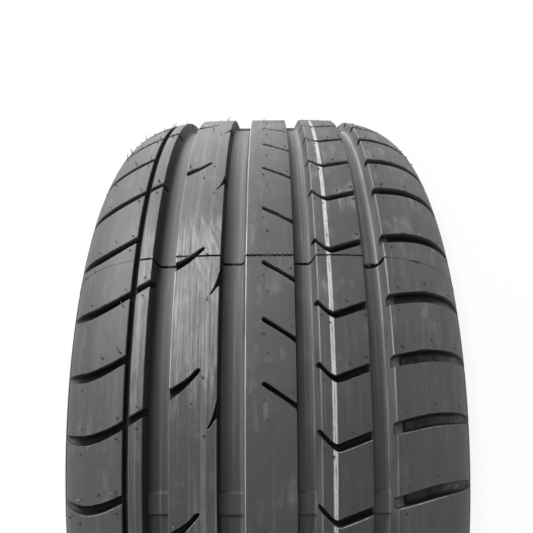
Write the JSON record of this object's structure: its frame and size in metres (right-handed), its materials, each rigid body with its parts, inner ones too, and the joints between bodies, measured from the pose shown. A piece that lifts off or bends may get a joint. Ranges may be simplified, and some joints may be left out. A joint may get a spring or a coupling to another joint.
{
  "type": "car tyre",
  "caption": "Low-profile passenger car tyre with an asymmetric tread of straight main grooves, angled slots and swept shoulder grooves, and plain sidewalls.",
  "frame": {"origin": "on the wheel axis at the lowest face of the tyre lying on its side", "axes": "+Z along the wheel axis, towards the shoulder with the thin groove; the tyre lies flat on its other sidewall"},
  "size_m": [0.634, 0.634, 0.225],
  "materials": {
    "rubber": "matte moulded rubber"
  },
  "bodies": {
    "root": {"tyre": "rubber"}
  },
  "joints": []
}
